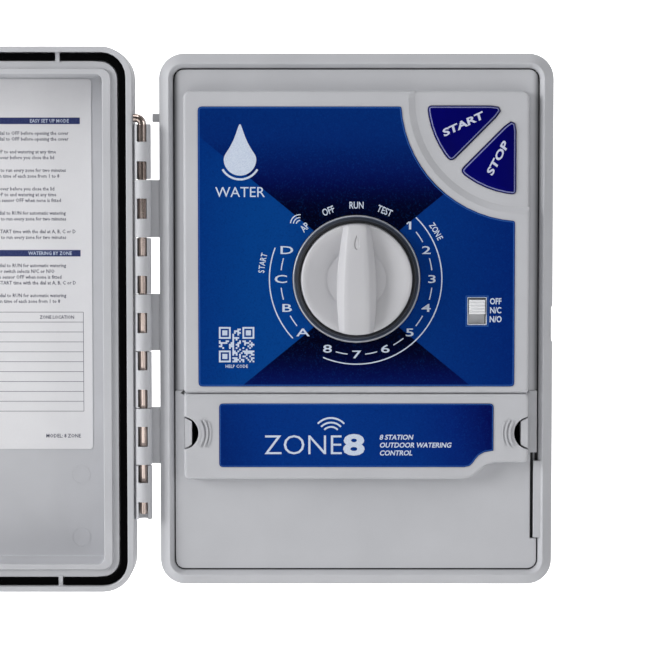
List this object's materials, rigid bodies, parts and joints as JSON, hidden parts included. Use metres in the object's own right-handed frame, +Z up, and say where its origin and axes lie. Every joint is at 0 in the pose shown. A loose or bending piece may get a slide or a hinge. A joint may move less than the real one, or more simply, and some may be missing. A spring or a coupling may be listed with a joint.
{
  "type": "irrigation controller",
  "caption": "Wall-mounted irrigation controller with a hinged lid open to one side, a rotary dial, push buttons, a slide switch and a pull-off wiring cover.",
  "frame": {"origin": "middle of the case's flat back face, which lies on the wall", "axes": "+Z up, +X to the reader's right, -Y forward out of the wall; the lid hangs open to the left (-X)"},
  "size_m": [0.3995, 0.08, 0.263],
  "materials": {
    "case_plastic": "fine moulded texture, light grey",
    "panel_plastic": "satin moulded light grey",
    "navy_plastic": "deep navy with a soft gloss",
    "white_plastic": "satin white",
    "label_film": "printed film, blue with darker sectors",
    "paper_label": "off-white printed sheet",
    "black_plastic": "satin black",
    "foam": "closed-cell foam, black",
    "pin_steel": "drawn steel",
    "core_steel": "varnished laminations",
    "winding_tape": "yellow winding tape",
    "circuit_board": "green solder mask",
    "terminal_plastic": "green terminal block",
    "fuse_glass": "clear tube",
    "module_can": "tinned screening can",
    "cell_steel": "plated cell",
    "ribbon_plastic": "grey ribbon"
  },
  "bodies": {
    "case": {"back_case": "case_plastic", "cable_bushing": "black_plastic", "conduit_plug": "case_plastic", "transformer_core": "core_steel", "transformer_coil": "winding_tape", "terminal_board": "circuit_board", "zone_terminals": "terminal_plastic", "supply_terminals": "terminal_plastic", "fuse_holder": "black_plastic", "fuse": "fuse_glass", "ribbon_cable": "ribbon_plastic", "zone_screw_1": "pin_steel", "zone_screw_2": "pin_steel", "zone_screw_3": "pin_steel", "zone_screw_4": "pin_steel", "zone_screw_5": "pin_steel", "zone_screw_6": "pin_steel", "zone_screw_7": "pin_steel", "zone_screw_8": "pin_steel", "supply_screw_1": "pin_steel", "supply_screw_2": "pin_steel", "supply_screw_3": "pin_steel", "supply_screw_4": "pin_steel", "supply_screw_5": "pin_steel", "supply_screw_6": "pin_steel", "front_panel": "panel_plastic", "panel_label": "label_film", "dial_bezel": "black_plastic", "control_board": "circuit_board", "rotary_switch": "black_plastic", "start_switch": "black_plastic", "stop_switch": "black_plastic", "slide_switch": "black_plastic", "wireless_module": "module_can", "cell_holder": "black_plastic", "button_cell": "cell_steel", "board_screw_1": "pin_steel", "board_screw_2": "pin_steel", "board_screw_3": "pin_steel", "board_screw_4": "pin_steel"},
    "lid": {"lid_shell": "case_plastic", "gasket_long": "foam", "gasket_short": "foam", "lid_label": "paper_label", "hinge_pin": "pin_steel"},
    "dial": {"knob": "panel_plastic", "knob_shaft": "pin_steel"},
    "start_key": {"start_button": "navy_plastic"},
    "stop_key": {"stop_button": "navy_plastic"},
    "slider": {"sensor_slider": "white_plastic"},
    "cover": {"terminal_cover": "panel_plastic", "cover_label": "label_film"},
    "tab_left": {"release_tab_left": "panel_plastic"},
    "tab_right": {"release_tab_right": "panel_plastic"}
  },
  "joints": [
    {"name": "lid_hinge", "type": "hinge", "parent": "case", "child": "lid", "pos_m": [-0.103, -0.062, 0], "axis": [0, 0, 1], "range_deg": [0, 180]},
    {"name": "dial_turn", "type": "hinge", "parent": "case", "child": "dial", "pos_m": [0, -0.07, 0.0203], "axis": [0, -1, 0], "continuous": true},
    {"name": "start_press", "type": "slide", "parent": "case", "child": "start_key", "axis": [0, 1, 0], "range_m": [0, 0.0008], "stiffness_N_per_m": 1500},
    {"name": "stop_press", "type": "slide", "parent": "case", "child": "stop_key", "axis": [0, 1, 0], "range_m": [0, 0.0008], "stiffness_N_per_m": 1500},
    {"name": "sensor_slide", "type": "slide", "parent": "case", "child": "slider", "axis": [0, 0, -1], "range_m": [0, 0.0044]},
    {"name": "cover_pull", "type": "slide", "parent": "case", "child": "cover", "axis": [0, 1, 0], "range_m": [-0.045, 0]},
    {"name": "tab_left_squeeze", "type": "hinge", "parent": "cover", "child": "tab_left", "pos_m": [-0.0809, -0.05, -0.0541], "axis": [0, 0, 1], "range_deg": [0, 3.5], "stiffness_Nm_per_rad": 0.3},
    {"name": "tab_right_squeeze", "type": "hinge", "parent": "cover", "child": "tab_right", "pos_m": [0.0809, -0.05, -0.0541], "axis": [0, 0, -1], "range_deg": [0, 3.5], "stiffness_Nm_per_rad": 0.3}
  ]
}
